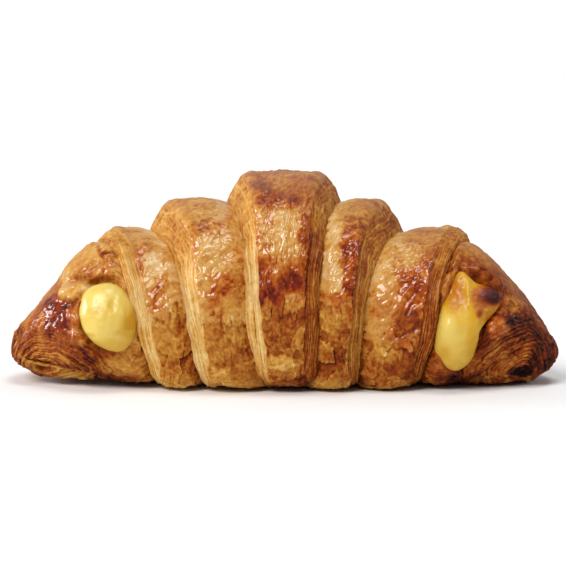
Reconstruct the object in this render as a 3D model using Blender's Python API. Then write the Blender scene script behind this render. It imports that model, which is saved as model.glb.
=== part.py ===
"""A cream-filled croissant: a rolled pastry with stepped wraps, and a custard core seen near both tips.

X runs from tip to tip, -Y is the shown front, +Z is up, and the flat underside lies on Z = 0.
The rolled triangle of dough is one long spiral strip on each side of the middle. A point on it is
given by its wrap angle, counted from the underside over the front, the top and the back, and by
its place across the strip, from the edge of the wrap before it to its own cut edge.
"""

import math

import bpy
import numpy as np

MM = 0.001
TURN = 2 * math.pi

# Whole pastry
HALF_LENGTH = 80.4 * MM
CROWN_HEIGHT = 60.6 * MM  # top of the middle wrap
HALF_DEPTH = 37.5 * MM  # half of the middle wrap, front to back
DEPTH_POWER = 0.85  # how the depth of a wrap follows its height
WIDEST_AT = 0.43  # height of the widest line, as a share of the height
BELLY = 2.4 * MM  # how far the round form would reach below the floor, which flattens it
ROUNDNESS = 0.88  # 1 is an ellipse, less is fuller
SPINE_BEND = {"left": -2.0 * MM, "right": -6.0 * MM}  # how far each tip leans to the front
FOOT_SPREAD = 0.5  # how much wider the roll stands at the floor than its round form would
FOOT_HEIGHT = 4.8 * MM  # how soon that fades with height
FOOT_END = 46.0 * MM  # it's gone at this distance from the middle
FOOT_FADE = 14.0 * MM

# Heights of the wraps: the middle one, the second, the third, the fourth and the rolled end
WRAP_HEIGHTS = (60.8 * MM, 52.0 * MM, 43.4 * MM, 45.0 * MM, 45.0 * MM)
TONGUE_START = -0.12 * math.pi  # wrap angle of the dough's point, under the base
GROW_ANGLE = 0.6 * math.pi  # wrap angle over which the cut edge grows from the dough's point
LOWER_START = 6.5 * math.pi  # wrap angle from which the last turn lies lower
LOWER_BY = 0.05  # as a share of its height

# Each turn's cut edge, as its distance in mm from the middle, along the outside: low front, front,
# high front, top, back
EDGE_ANGLES = (0.27 * math.pi, 0.5 * math.pi, 0.75 * math.pi, math.pi, 1.5 * math.pi)
EDGES = {
    "left": (
        (7.9, 11.0, 12.6, 17.0, 21.5),
        (24.4, 27.8, 31.4, 39.4, 38.4),
        (38.2, 42.0, 47.2, 55.3, 55.6),
        (58.0, 75.5, 78.0, 79.2, 80.4),
    ),
    "right": (
        (9.3, 10.2, 11.9, 16.6, 19.0),
        (21.6, 23.1, 26.8, 34.4, 37.0),
        (40.0, 43.0, 47.2, 53.9, 54.2),
        (56.0, 66.7, 77.0, 78.8, 80.0),
    ),
}
LAST_EDGE = 8 * math.pi + EDGE_ANGLES[0]  # wrap angle where the cut edge reaches the tip

# Slope of the two ends: distance from the middle and height of the top, in mm
TIP_TOPS = {
    "left": (
        (46.0, 56.0), (50.9, 46.2), (56.2, 40.6), (61.5, 34.2), (66.8, 27.2), (72.1, 21.6), (80.4, 18.2),
    ),
    "right": (
        (46.0, 56.0), (50.3, 48.0), (53.8, 42.6), (57.4, 38.8), (64.5, 30.4), (71.6, 22.4), (80.4, 15.4),
    ),
}
TIP_CENTRE = 8.6 * MM  # height of each tip's end point
DOME_START = 74.0 * MM  # the tip's top and sides round off past here
DOME_RADIUS = HALF_LENGTH - DOME_START
OUTSIDE_END = DOME_START + DOME_RADIUS * math.pi / 2  # the end point, measured along the outside
END_PATCH = 0.6 * MM  # points this near the end point are one with it
RELIEF_END = 79.0 * MM  # the end is smooth past here
LIFT_START = 65.0 * MM  # its underside rises past here
BELLY_END = 76.0 * MM  # and has lost its flattening by here
BELLY_FADE = 12.0 * MM
MEET_POWER = 14.0  # how sharply the wraps' heights give way to the slope of the ends

# Cut edges and creases between wraps
STRIP = 5.4 * MM  # width of the layered slope below a cut edge
TOP_STRIP = 9.0 * MM  # its width on top
MOST_STRIP = 0.6  # of a narrow wrap's width
STEP_ROUNDING = 1.2  # how roundly a cut edge drops to the wrap below it
CREASE_DEPTH = 1.5 * MM
TOP_CREASE = 0.35  # share of that depth on top
CREASE_WIDTH = 1.6 * MM
PILLOW = 0.9 * MM
LAYER_RIDGE = 0.35 * MM
WRINKLE = 0.35 * MM
WRINKLE_WAVES = (0.55 / MM, 0.21 / MM)  # along the roll
WRINKLE_TURNS = (2.0, 3.0)  # and round it

# Open pockets at the front: middle as distance and height, half-sizes and depth, in mm
POCKETS = {"left": (50.0, 23.0, 8.5, 14.0, 5.0), "right": (51.0, 22.0, 7.0, 16.0, 3.6)}
POCKET_LIP = 2.0 * MM  # how soon past the third wrap's edge a pocket is at its full depth

# Mesh of the pastry
COLUMNS = 44  # along one turn
ACROSS = (0.0, 0.07, 0.2, 0.38, 0.56, 0.69, 0.78, 0.86, 0.93, 1.0)
WELD_DIGITS = 8
SHARP_ANGLE = math.radians(60)

# Custard: stations from the left opening through the pastry to the right one, as the centre of a
# section in mm and its half-width and half-height
CORE_PATH = (
    (-49.8, -33.8, 20.6, 0.0, 0.0),
    (-49.8, -33.2, 20.6, 3.4, 4.4),
    (-49.8, -31.0, 20.7, 6.2, 8.0),
    (-49.8, -27.6, 20.8, 7.8, 10.0),
    (-49.8, -23.6, 20.8, 7.6, 9.6),
    (-49.6, -18.6, 20.8, 6.4, 7.6),
    (-48.6, -13.0, 21.0, 6.0, 6.6),
    (-45.4, -7.6, 21.6, 6.2, 6.6),
    (-39.6, -4.2, 22.4, 6.6, 6.8),
    (-28.0, -1.8, 23.8, 7.0, 7.0),
    (-10.0, -0.6, 25.6, 7.2, 7.2),
    (10.0, -0.6, 25.6, 7.2, 7.2),
    (28.0, -2.2, 23.8, 7.0, 7.0),
    (38.0, -4.8, 22.2, 6.6, 7.2),
    (44.6, -9.6, 21.2, 6.2, 8.4),
    (48.4, -15.4, 20.8, 6.2, 10.4),
    (49.6, -20.8, 20.8, 6.4, 13.0),
    (49.8, -25.6, 20.8, 6.6, 15.2),
    (49.6, -29.4, 20.2, 6.2, 14.6),
    (49.0, -32.2, 18.6, 4.8, 11.4),
    (48.6, -33.6, 16.6, 2.6, 6.2),
    (48.4, -34.0, 16.0, 0.0, 0.0),
)
CORE_SIDES = 28
DRIP_LEAN = 0.12  # the right opening's custard leans this much with height
DRIP_TAPER = 0.3  # and is this much narrower at its top and wider at its foot
DRIP_START = 40.0  # the drip's form begins and is whole at these distances, in mm
DRIP_FULL = 48.0
GAP = 0.3 * MM

# Baked colours
CRUST_COLOUR = (0.47, 0.20, 0.055, 1.0)
CUSTARD_COLOUR = (0.80, 0.58, 0.12, 1.0)


def clear_scene():
    for old in list(bpy.data.objects):
        bpy.data.objects.remove(old, do_unlink=True)


def through(x, knots, values):
    """A smooth line through the knots, level beyond the first and the last."""
    knots = np.asarray(knots, float)
    values = np.asarray(values, float)
    slopes = np.gradient(values, knots)
    slopes[0] = slopes[-1] = 0.0
    x = np.clip(x, knots[0], knots[-1])
    k = np.clip(np.searchsorted(knots, x, side="right") - 1, 0, len(knots) - 2)
    width = knots[k + 1] - knots[k]
    u = (x - knots[k]) / width
    rise = 3 * u**2 - 2 * u**3
    return (
        values[k] + (values[k + 1] - values[k]) * rise
        + slopes[k] * width * (u**3 - 2 * u**2 + u)
        + slopes[k + 1] * width * (u**3 - u**2)
    )


def ease(u):
    u = np.clip(u, 0.0, 1.0)
    return u * u * (3 - 2 * u)


def edge_distance(wrap, side):
    """How far from the middle the dough's cut edge lies at this wrap angle."""
    angles = [TONGUE_START]
    places = [0.0]
    for turn, row in enumerate(EDGES[side]):
        for angle, place in zip(EDGE_ANGLES, row):
            angles.append(turn * TURN + angle)
            places.append(place * MM)
    angles.append(LAST_EDGE)
    places.append(OUTSIDE_END)
    inside = through(wrap, angles, places)
    return np.where(wrap <= TONGUE_START, 0.0, np.where(wrap >= LAST_EDGE, OUTSIDE_END, inside))


def wrap_height(wrap):
    """Height of the wrap's crown; the tongue starts as low as the layer that it lies on."""
    under_tongue = 0.5 * (WRAP_HEIGHTS[0] + WRAP_HEIGHTS[1])
    angles = [TONGUE_START, math.pi, TURN + TONGUE_START]
    heights = [under_tongue, WRAP_HEIGHTS[0], under_tongue]
    for turn, height in enumerate(WRAP_HEIGHTS[1:], start=1):
        angles.append(turn * TURN + math.pi)
        heights.append(height)
    return through(wrap, angles, heights)


def crown_height(distance, wrap, side):
    """Height of the top at this distance from the middle, where the wrap meets the sloping end."""
    knots = [place * MM for place, _ in TIP_TOPS[side]]
    tops = [top * MM for _, top in TIP_TOPS[side]]
    slope = through(distance, knots, tops)
    step_down = 1.0 - LOWER_BY * ease((wrap - LOWER_START) / TURN)
    slope = np.where(distance < knots[0], 1.0, slope * step_down)
    wrap_top = wrap_height(wrap)
    return (wrap_top**-MEET_POWER + slope**-MEET_POWER) ** (-1 / MEET_POWER)


def pocket_depth(distance, height, side):
    """How far the open pocket draws the front surface back at this place."""
    middle, level, reach, rise, depth = (value * MM for value in POCKETS[side])
    away = ((distance - middle) / reach) ** 2 + ((height - level) / rise) ** 2
    return depth * np.exp(-(away**1.5))


def surface(wrap, across, side):
    """Points of the pastry's outside, for arrays of wrap angles and places across the strip."""
    sign = -1.0 if side == "left" else 1.0
    inner = edge_distance(wrap - TURN, side)
    outer = edge_distance(wrap, side)
    width = outer - inner
    along = inner + width * across
    along = np.where(along > OUTSIDE_END - END_PATCH, OUTSIDE_END, along)
    rounding = np.clip((along - DOME_START) / DOME_RADIUS, 0, math.pi / 2)
    distance = np.minimum(along, DOME_START) + DOME_RADIUS * np.sin(rounding)
    dome = np.where(along < OUTSIDE_END, np.cos(rounding), 0.0)

    topside = np.clip(-np.cos(wrap), 0, 1) ** 3
    strip = STRIP + (TOP_STRIP - STRIP) * topside
    strip_share = np.minimum(strip / np.maximum(width, strip / 4), MOST_STRIP)
    on_strip = np.clip((1 - across) / strip_share, 0.0, 1.0)
    step = np.sin(on_strip * math.pi / 2) ** STEP_ROUNDING
    own = crown_height(distance, wrap, side)
    below = crown_height(distance, wrap + TURN, side)
    height = below + (own - below) * step

    edge_grows = ease((wrap - TONGUE_START) / GROW_ANGLE)
    inner_grows = ease((wrap - TURN - TONGUE_START) / GROW_ANGLE)
    to_inner = np.exp(-((across * width / CREASE_WIDTH) ** 2)) * (1 - across**2)
    to_outer = np.exp(-(((1 - across) * width / CREASE_WIDTH) ** 2)) * (1 - (1 - across) ** 2)
    crease = inner_grows * to_inner + edge_grows * to_outer
    middle = np.sin(math.pi * np.clip(across / (1 - 0.5 * strip_share), 0, 1)) * inner_grows
    ridges = np.sin(on_strip * 2 * TURN) * np.sin(math.pi * on_strip) * edge_grows
    coarse, fine = WRINKLE_WAVES
    coarse_turns, fine_turns = WRINKLE_TURNS
    wrinkles = np.sin(distance * coarse + coarse_turns * wrap) * np.sin(distance * fine + fine_turns * wrap)
    crease = crease * (1 - (1 - TOP_CREASE) * topside)
    out = -CREASE_DEPTH * crease + PILLOW * middle + LAYER_RIDGE * ridges
    out = out + WRINKLE * wrinkles * edge_grows * np.sin(math.pi * across) ** 2

    half_depth = HALF_DEPTH * (height / CROWN_HEIGHT) ** DEPTH_POWER
    centre_z = height * WIDEST_AT
    centre_z = TIP_CENTRE + (centre_z - TIP_CENTRE) * dome
    top = TIP_CENTRE + (height - TIP_CENTRE) * dome
    to_end = np.clip((distance - LIFT_START) / (HALF_LENGTH - LIFT_START), 0, 1)
    bottom = TIP_CENTRE * (1 - np.sqrt(1 - to_end**2))
    bottom = bottom - BELLY * (1 - ease((distance - BELLY_END + BELLY_FADE) / BELLY_FADE))
    sine = np.sin(wrap)
    cosine = np.cos(wrap)
    ring_y = -np.sign(sine) * np.abs(sine) ** ROUNDNESS * half_depth * dome
    ring_z = -np.sign(cosine) * np.abs(cosine) ** ROUNDNESS
    ring_z = np.where(ring_z > 0, ring_z * (top - centre_z), ring_z * (centre_z - bottom))
    reach = np.maximum(np.hypot(ring_y, ring_z), 1e-9)
    smooth_end = 1 - ease((distance - DOME_START) / (RELIEF_END - DOME_START))
    grow = 1 + out * dome * smooth_end / reach
    z = np.maximum(centre_z + ring_z * grow, 0.0)
    foot = FOOT_SPREAD * np.exp(-z / FOOT_HEIGHT) * ease((FOOT_END - distance) / FOOT_FADE)
    y = SPINE_BEND[side] * (distance / HALF_LENGTH) ** 2 + ring_y * grow * (1 + foot)
    past_third = ease((along - inner) / POCKET_LIP) * (wrap > 3 * TURN)
    in_pocket = np.where(wrap > 4 * TURN, 1.0, past_third) * ease(3 * sine)
    y = y + pocket_depth(distance, z, side) * in_pocket
    return np.stack([sign * distance, y, z], axis=-1)


def strip_faces(columns, rows, start, flip):
    faces = []
    for j in range(columns - 1):
        for i in range(rows - 1):
            a = start + j * rows + i
            face = (a, a + rows, a + rows + 1, a + 1)
            faces.append(face[::-1] if flip else face)
    return faces


def welded_mesh(name, points, faces):
    """A mesh of these faces with equal points made one, and the faces that collapse dropped."""
    rounded = np.round(points, WELD_DIGITS)
    _, first, index = np.unique(rounded, axis=0, return_index=True, return_inverse=True)
    index = index.reshape(-1)
    kept = []
    for face in faces:
        corners = [int(index[corner]) for corner in face]
        corners = [c for n, c in enumerate(corners) if c != corners[n - 1]]
        if len(corners) > 2:
            kept.append(corners)
    mesh = bpy.data.meshes.new(name)
    mesh.from_pydata([tuple(p) for p in points[first]], [], kept)
    mesh.validate()
    mesh.update()
    return mesh


def principled(name, colour, roughness):
    material = bpy.data.materials.new(name)
    material.use_nodes = True
    shader = material.node_tree.nodes["Principled BSDF"]
    shader.inputs["Base Color"].default_value = colour
    shader.inputs["Roughness"].default_value = roughness
    shader.inputs["Metallic"].default_value = 0.0
    return material


def add_object(name, mesh, material):
    piece = bpy.data.objects.new(name, mesh)
    bpy.context.scene.collection.objects.link(piece)
    piece.data.materials.append(material)
    mesh.shade_smooth()
    mesh.set_sharp_from_angle(angle=SHARP_ANGLE)
    return piece


def pastry_mesh():
    """The whole outside: one spiral strip on each side, welded along its turns and the middle."""
    step = TURN / COLUMNS
    count = math.ceil((LAST_EDGE + TURN - TONGUE_START) / step) + 1
    wraps = TONGUE_START + step * np.arange(count)
    points = []
    faces = []
    for side in ("left", "right"):
        wrap, across = np.meshgrid(wraps, np.asarray(ACROSS), indexing="ij")
        block = surface(wrap, across, side).reshape(-1, 3)
        faces += strip_faces(count, len(ACROSS), sum(len(p) for p in points), side == "right")
        points.append(block)
    return welded_mesh("pastry", np.concatenate(points), faces)


def custard_mesh(name, grow):
    """The core: a tube of oval sections along its path, which swells at both openings."""
    stations = np.array(CORE_PATH)
    centres = stations[:, :3] * MM
    radii = stations[:, 3:] * MM
    ahead = np.gradient(centres, axis=0)
    ahead[0] = (0, 1, 0)
    ahead[-1] = (0, -1, 0)
    ahead[:, 2] = 0
    ahead /= np.linalg.norm(ahead, axis=1)[:, None]
    sideways = np.stack([ahead[:, 1], -ahead[:, 0], np.zeros(len(ahead))], axis=1)
    ends = np.array([radius == 0 for radius in radii[:, 0]])
    centres = centres + np.where(ends[:, None], -grow * np.array((0, 1, 0)), 0)
    radii = np.where(ends[:, None], 0, radii + grow)
    rounds = np.arange(CORE_SIDES) * TURN / CORE_SIDES
    rise = np.sin(rounds)[None, :] * radii[:, 1:2]
    reach = np.cos(rounds)[None, :] * radii[:, 0:1]
    drip = ease((stations[:, 0] - DRIP_START) / (DRIP_FULL - DRIP_START))[:, None]
    reach = reach * (1 - DRIP_TAPER * drip * np.sin(rounds)[None, :])
    points = centres[:, None, :] + sideways[:, None, :] * reach[:, :, None]
    points[:, :, 2] += rise
    points[:, :, 0] += DRIP_LEAN * drip * rise
    points = points.reshape(-1, 3)
    faces = []
    for ring in range(len(stations) - 1):
        for side in range(CORE_SIDES):
            after = (side + 1) % CORE_SIDES
            a = ring * CORE_SIDES + side
            b = ring * CORE_SIDES + after
            faces.append((a, a + CORE_SIDES, b + CORE_SIDES, b))
    return welded_mesh(name, points, faces)


def build():
    clear_scene()
    crust = principled("egg-washed laminated crust", CRUST_COLOUR, 0.42)
    cream = principled("pastry custard", CUSTARD_COLOUR, 0.3)

    pastry = add_object("pastry", pastry_mesh(), crust)
    add_object("custard", custard_mesh("custard", 0.0), cream)

    hollow = add_object("custard_room", custard_mesh("custard_room", GAP), cream)
    hollow.hide_render = True
    hollow.display_type = "WIRE"
    cut = pastry.modifiers.new("custard room", "BOOLEAN")
    cut.operation = "DIFFERENCE"
    cut.solver = "EXACT"
    cut.object = hollow


build()
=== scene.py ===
"""A cream-filled croissant: flaky rolled dough under baked egg wash, with custard at both openings.

X runs from tip to tip, -Y is the shown front and +Z is up. The dough is one long spiral strip on
each side of the middle. A point on it is given by its wrap angle, counted from the underside over
the front, the top and the back, and by its place across the strip, from the edge of the wrap
before it to its own cut edge. Lengths are in mm until a mesh is made.
"""

import itertools
import math

import bmesh
import bpy
import numpy as np
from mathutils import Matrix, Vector


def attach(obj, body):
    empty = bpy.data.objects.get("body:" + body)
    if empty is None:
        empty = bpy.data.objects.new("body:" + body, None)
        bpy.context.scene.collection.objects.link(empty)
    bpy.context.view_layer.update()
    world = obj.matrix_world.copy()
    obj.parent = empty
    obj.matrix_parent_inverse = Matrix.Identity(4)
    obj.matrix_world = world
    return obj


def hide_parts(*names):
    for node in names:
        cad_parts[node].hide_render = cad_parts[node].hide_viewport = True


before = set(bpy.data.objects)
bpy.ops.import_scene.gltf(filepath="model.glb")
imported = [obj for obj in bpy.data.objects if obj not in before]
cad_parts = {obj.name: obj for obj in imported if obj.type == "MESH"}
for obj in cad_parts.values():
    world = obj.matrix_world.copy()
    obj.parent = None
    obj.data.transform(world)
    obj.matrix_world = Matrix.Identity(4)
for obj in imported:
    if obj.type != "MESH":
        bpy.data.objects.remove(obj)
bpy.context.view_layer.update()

bl_info = {
    "name": "Cream-filled croissant",
    "version": (1, 0, 0),
    "blender": (4, 5, 0),
    "location": "3D View > Sidebar > Croissant",
    "description": "Models a laminated croissant with custard in its two openings",
    "category": "Add Mesh",
}

MM = 0.001
TURN = 2 * math.pi

# The roll's driving sizes, as on the solids
HALF_LENGTH = 80.4
CROWN_HEIGHT = 60.6
HALF_DEPTH = 37.5
DEPTH_POWER = 0.85  # how the depth of a wrap follows its height
WIDEST_AT = 0.43  # as a share of the height
BELLY = 2.4  # how far the round form would reach below the floor, which flattens it
ROUNDNESS = 0.88  # 1 is an ellipse, less is fuller
SPINE_BEND = {"left": -2.0, "right": -6.0}  # y of each tip's middle
WRAP_HEIGHTS = (60.8, 52.0, 43.4, 45.0, 45.0)  # of the middle wrap, then of each turn after it
TONGUE_START = -0.12 * math.pi  # wrap angle of the dough's point, under the base
GROW_ANGLE = 0.6 * math.pi  # over which the cut edge grows from there
LOWER_START = 6.5 * math.pi  # from which the last turn lies lower
LOWER_BY = 0.05

# Distance of the cut edge from the middle: a row for each turn, with a number for each of these angles
EDGE_ANGLES = (0.27 * math.pi, 0.5 * math.pi, 0.75 * math.pi, math.pi, 1.5 * math.pi)
EDGES = {
    "left": (
        (7.9, 11.0, 12.6, 17.0, 21.5),
        (24.4, 27.8, 31.4, 39.4, 38.4),
        (38.2, 42.0, 47.2, 55.3, 55.6),
        (58.0, 75.5, 78.0, 79.2, 80.4),
    ),
    "right": (
        (9.3, 10.2, 11.9, 16.6, 19.0),
        (21.6, 23.1, 26.8, 34.4, 37.0),
        (40.0, 43.0, 47.2, 53.9, 54.2),
        (56.0, 66.7, 77.0, 78.8, 80.0),
    ),
}
LAST_EDGE = 8 * math.pi + EDGE_ANGLES[0]
ROLLED_END = 3 * TURN + TONGUE_START  # wrap angle from which the layers fan round the tip

# Top of each sloping end: distance from the middle, height
TIP_TOPS = {
    "left": (
        (46.0, 56.0), (50.9, 46.2), (56.2, 40.6), (61.5, 34.2), (66.8, 27.2), (72.1, 21.6), (80.4, 18.2),
    ),
    "right": (
        (46.0, 56.0), (50.3, 48.0), (53.8, 42.6), (57.4, 38.8), (64.5, 30.4), (71.6, 22.4), (80.4, 15.4),
    ),
}
TIP_CENTRE = 8.6  # height of the tip itself

# Each tip is rounded off as a dome, and distances along the dough run on round it
DOME_START = 74.0
DOME_RADIUS = HALF_LENGTH - DOME_START
OUTSIDE_END = DOME_START + DOME_RADIUS * math.pi / 2
END_PATCH = 0.6  # the last stretch, which is drawn together to a point

LIFT_START = 65.0  # distance from which the underside rises to the tip
BELLY_END = 76.0  # and at which the reach below the floor has faded out
BELLY_FADE = 12.0
MEET_POWER = 14.0  # how sharply a wrap's crown meets the sloping end
STRIP = 5.4  # width of the layered strip at the front
TOP_STRIP = 9.0  # and on top
MOST_STRIP = 0.6  # the largest share of a wrap's width that it takes up
STEP_ROUNDING = 1.2  # more than 1 hollows the step down to the next wrap
PILLOW = 0.9  # how far a wrap swells out between its creases
FOOT_SPREAD = 0.5  # how much deeper, as a share, the wraps are at the floor
FOOT_HEIGHT = 4.8
FOOT_END = 46.0
FOOT_FADE = 14.0

# Open pockets: distance from the middle, height, half-width, half-height, depth
POCKETS = {"left": (50.0, 23.0, 8.5, 14.0, 5.0), "right": (51.0, 22.0, 7.0, 16.0, 3.6)}
POCKET_LIP = 2.0  # width of the soft border towards the middle

# Fine mesh: rows in the layered strip as a share of all rows, and the closing wall behind, whose
# marks are all one value
STRIP_ROWS = 0.42
SHELL = 2.6
CORE_SHELL = 4.2
TUCK = 2.2
WALL_MARK = 0.3


def linear(hex_colour):
    """An sRGB hex colour such as "D9A050" as linear RGBA."""
    channels = [int(hex_colour[i : i + 2], 16) / 255 for i in (0, 2, 4)]
    return tuple(c / 12.92 if c <= 0.04045 else ((c + 0.055) / 1.055) ** 2.4 for c in channels) + (1.0,)


def through(x, knots, values):
    """A smooth line through the knots, level beyond the first and the last."""
    knots = np.asarray(knots, float)
    values = np.asarray(values, float)
    slopes = np.gradient(values, knots)
    slopes[0] = slopes[-1] = 0.0
    x = np.clip(x, knots[0], knots[-1])
    k = np.clip(np.searchsorted(knots, x, side="right") - 1, 0, len(knots) - 2)
    width = knots[k + 1] - knots[k]
    u = (x - knots[k]) / width
    rise = 3 * u**2 - 2 * u**3
    return (
        values[k] + (values[k + 1] - values[k]) * rise
        + slopes[k] * width * (u**3 - 2 * u**2 + u)
        + slopes[k + 1] * width * (u**3 - u**2)
    )


def ease(u):
    """A soft step from 0 to 1."""
    u = np.clip(u, 0.0, 1.0)
    return u * u * (3 - 2 * u)


def bell(distance, reach):
    """A soft hump, 1 where the distance is 0."""
    return np.exp(-((distance / reach) ** 2))


def mix(first, second, share):
    """The first where the share is 0 and the second where it is 1."""
    return first + (second - first) * share


# Seeded noise

SEEDED = np.random.default_rng(1839)
ORDER = SEEDED.permutation(256)
LEVELS = SEEDED.random(256)
SLANTS = SEEDED.normal(size=(256, 3))
SLANTS /= np.linalg.norm(SLANTS, axis=1)[:, None]
NOISE_GAIN = 1.7


def cell_index(*cells):
    """A repeatable place in the tables for whole-number cells."""
    index = 0
    for cell in cells:
        index = ORDER[(index + cell.astype(np.int64)) & 255]
    return index


def noise(points, size, seed=0):
    """Smooth noise from about -1 to 1, with lumps of this size: one number, or one for each axis."""
    scaled = points / np.asarray(size, float) + seed * 17.31
    cell = np.floor(scaled)
    inside = scaled - cell
    blend = inside**3 * (inside * (inside * 6 - 15) + 10)
    total = np.zeros(scaled.shape[:-1])
    for corner in itertools.product((0, 1), repeat=3):
        slant = SLANTS[cell_index(*(cell[..., axis] + corner[axis] for axis in range(3)))]
        offset = inside - np.array(corner)
        weight = np.prod(np.where(corner, blend, 1 - blend), axis=-1)
        total += np.einsum("...i,...i->...", slant, offset) * weight
    return total * NOISE_GAIN


def rough_noise(points, size, octaves, seed=0):
    """Noise with finer and fainter copies of itself."""
    total = 0.0
    for octave in range(octaves):
        total = total + noise(points, np.asarray(size, float) / 2**octave, seed + octave) / 2**octave
    return total / 1.4


def patches(along, up, seed):
    """Levels from 0 to 1 on squarish patches of about one unit, with steep borders."""
    steep = 0.13
    row = np.floor(up)
    levels = []
    for this_row in (row, row + 1):
        shifted = along + LEVELS[cell_index(this_row, np.asarray(float(seed)))] * 5
        column = np.floor(shifted)
        ramp = ease((shifted - column - 0.5) / steep + 0.5)
        here = LEVELS[cell_index(column, this_row, np.asarray(float(seed + 7)))]
        after = LEVELS[cell_index(column + 1, this_row, np.asarray(float(seed + 7)))]
        levels.append(mix(here, after, ramp))
    ramp = ease((up - row - 0.5) / steep + 0.5)
    return mix(*levels, ramp)


def nearest_points(places, jitter, *key):
    """Gaps to the nearest two of points scattered one to a cell, and the nearest one's own level."""
    axes = places.shape[-1]
    cell = np.floor(places)
    nearest = second = np.full(places.shape[:-1], 9.0)
    level = np.zeros(places.shape[:-1])
    for corner in itertools.product((-1, 0, 1), repeat=axes):
        there = cell + np.array(corner)
        index = cell_index(*np.moveaxis(there, -1, 0), *key)
        gap = np.linalg.norm(places - (there + 0.5 + jitter * SLANTS[index][..., :axes]), axis=-1)
        closer = gap < nearest
        second = np.where(closer, nearest, np.minimum(second, gap))
        level = np.where(closer, LEVELS[index], level)
        nearest = np.minimum(nearest, gap)
    return nearest, second, level


def flakes(along, up, seed):
    """Levels from 0 to 1 on ragged scraps of about one unit, and how near their borders are."""
    places = np.stack([along, up], axis=-1)
    nearest, second, level = nearest_points(places, 0.42, np.asarray(float(seed)))
    return level, bell(second - nearest, 0.13)


def bubbles(points, size, seed):
    """Round domes, 1 at a cell's middle and 0 from its rim on, and each cell's own level."""
    nearest, _, level = nearest_points(points / size + seed * 9.7, 0.36)
    return np.clip(1 - (nearest / 0.62) ** 2, 0, 1), level


# The roll's form


def edge_distance(wrap, side):
    """How far from the middle the dough's cut edge lies at this wrap angle."""
    angles = [turn * TURN + angle for turn in range(len(EDGES[side])) for angle in EDGE_ANGLES]
    places = [place for row in EDGES[side] for place in row]
    inside = through(wrap, [TONGUE_START, *angles, LAST_EDGE], [0.0, *places, OUTSIDE_END])
    return np.where(wrap <= TONGUE_START, 0.0, np.where(wrap >= LAST_EDGE, OUTSIDE_END, inside))


def wrap_height(wrap):
    """Height of the wrap's crown; the tongue starts as low as the layer that it lies on."""
    under_tongue = 0.5 * (WRAP_HEIGHTS[0] + WRAP_HEIGHTS[1])
    tops = [turn * TURN + math.pi for turn in range(1, len(WRAP_HEIGHTS))]
    angles = [TONGUE_START, math.pi, TURN + TONGUE_START, *tops]
    return through(wrap, angles, [under_tongue, WRAP_HEIGHTS[0], under_tongue, *WRAP_HEIGHTS[1:]])


def crown_height(distance, wrap, side):
    """Height of the top at this distance from the middle, where the wrap meets the sloping end."""
    knots = [place for place, _ in TIP_TOPS[side]]
    slope = through(distance, knots, [top for _, top in TIP_TOPS[side]])
    step_down = 1.0 - LOWER_BY * ease((wrap - LOWER_START) / TURN)
    slope = np.where(distance < knots[0], 1000.0, slope * step_down)
    return (wrap_height(wrap) ** -MEET_POWER + slope**-MEET_POWER) ** (-1 / MEET_POWER)


def strip_share(wrap, side):
    """Share of the wrap's width that its layered cut edge takes up."""
    width = edge_distance(wrap, side) - edge_distance(wrap - TURN, side)
    topside = np.clip(-np.cos(wrap), 0, 1) ** 3
    strip = mix(STRIP, TOP_STRIP, topside)
    return np.minimum(strip / np.maximum(width, strip / 4), MOST_STRIP)


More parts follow.
